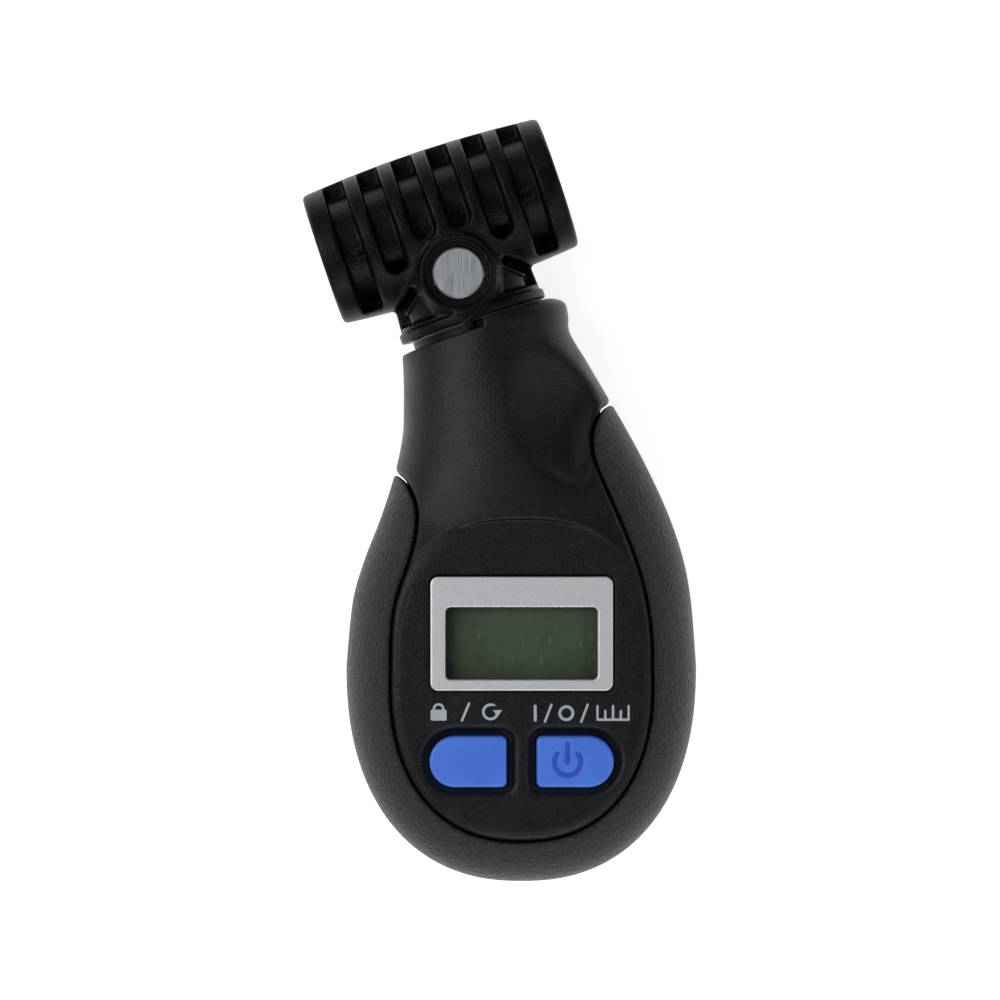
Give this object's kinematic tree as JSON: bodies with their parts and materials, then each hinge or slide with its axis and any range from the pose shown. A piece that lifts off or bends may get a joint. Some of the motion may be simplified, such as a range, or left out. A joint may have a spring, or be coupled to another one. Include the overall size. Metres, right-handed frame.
{
  "type": "digital tyre pressure gauge",
  "caption": "Handheld digital tyre pressure gauge: teardrop body with rubber grip, leaning neck, swivelling double-ended valve head, display and push buttons.",
  "frame": {"origin": "on the flat of the back that the gauge lies on, under the display", "axes": "+Z out of the display face, +Y towards the valve head, +X to the right of the display"},
  "size_m": [0.0618, 0.1196, 0.0297],
  "materials": {
    "housing_plastic": "fine matt texture",
    "grip_rubber": "coarse leather-like grain",
    "bezel_silver": "satin silver",
    "window_clear": "clear",
    "lcd_glass": "smooth",
    "inner_plastic": "moulded",
    "zebra_rubber": "soft",
    "board_green": "lacquered",
    "chip_black": "epoxy",
    "steel": "plated",
    "white_plastic": "moulded",
    "seal_red": "soft",
    "seal_black": "soft",
    "contact_metal": "plated",
    "button_blue": "satin",
    "head_plastic": "semi-gloss with fine texture",
    "pin_aluminium": "turned face, bright chamfer",
    "stem_brass": "turned",
    "ring_plastic": "moulded"
  },
  "bodies": {
    "handle": {"front_housing": "housing_plastic", "rear_housing": "housing_plastic", "grip_sleeve": "grip_rubber", "display_bezel": "bezel_silver", "display_window": "window_clear", "lcd_panel": "lcd_glass", "display_frame": "inner_plastic", "zebra_strips": "zebra_rubber", "circuit_board": "board_green", "controller_chip": "chip_black", "board_screws": "steel", "tact_switches": "steel", "pressure_sensor": "steel", "sensor_manifold": "white_plastic", "manifold_seal": "seal_red", "air_tube": "white_plastic", "swivel_socket": "inner_plastic", "stem_retainer": "steel", "battery_tray": "inner_plastic", "battery_cell": "steel", "contact_plus": "contact_metal", "contact_minus": "contact_metal", "housing_screws": "steel"},
    "head": {"head_shell": "head_plastic", "head_pin": "pin_aluminium", "pin_orings": "seal_black", "port_seal": "seal_black", "swivel_stem": "stem_brass", "stem_orings": "seal_black", "swivel_washer": "white_plastic", "wide_seal": "seal_black", "narrow_seal": "seal_black", "wide_ring": "ring_plastic", "narrow_ring": "ring_plastic"},
    "shuttle": {"shuttle": "white_plastic", "shuttle_orings": "seal_black"},
    "hold_button": {"hold_button": "button_blue"},
    "power_button": {"power_button": "button_blue"},
    "battery_cover": {"battery_cover": "housing_plastic", "cover_seal": "seal_red"}
  },
  "joints": [
    {"name": "head_swivel", "type": "hinge", "parent": "handle", "child": "head", "pos_m": [-0.0098, 0.0651, 0.015], "axis": [-0.3173, 0.9483, 0], "range_deg": [-180, 6]},
    {"name": "shuttle_slide", "type": "slide", "parent": "head", "child": "shuttle", "axis": [0.9483, 0.3173, 0], "range_m": [-0.0012, 0.0012]},
    {"name": "hold_press", "type": "slide", "parent": "handle", "child": "hold_button", "axis": [0, 0, -1], "range_m": [0, 0.0005], "stiffness_N_per_m": 1500, "springref_m": -0.0003},
    {"name": "power_press", "type": "slide", "parent": "handle", "child": "power_button", "axis": [0, 0, -1], "range_m": [0, 0.0005], "stiffness_N_per_m": 1500, "springref_m": -0.0003},
    {"name": "cover_turn", "type": "hinge", "parent": "handle", "child": "battery_cover", "pos_m": [0, 0.006, 0.001], "axis": [0, 0, -1], "range_deg": [0, 60]}
  ]
}
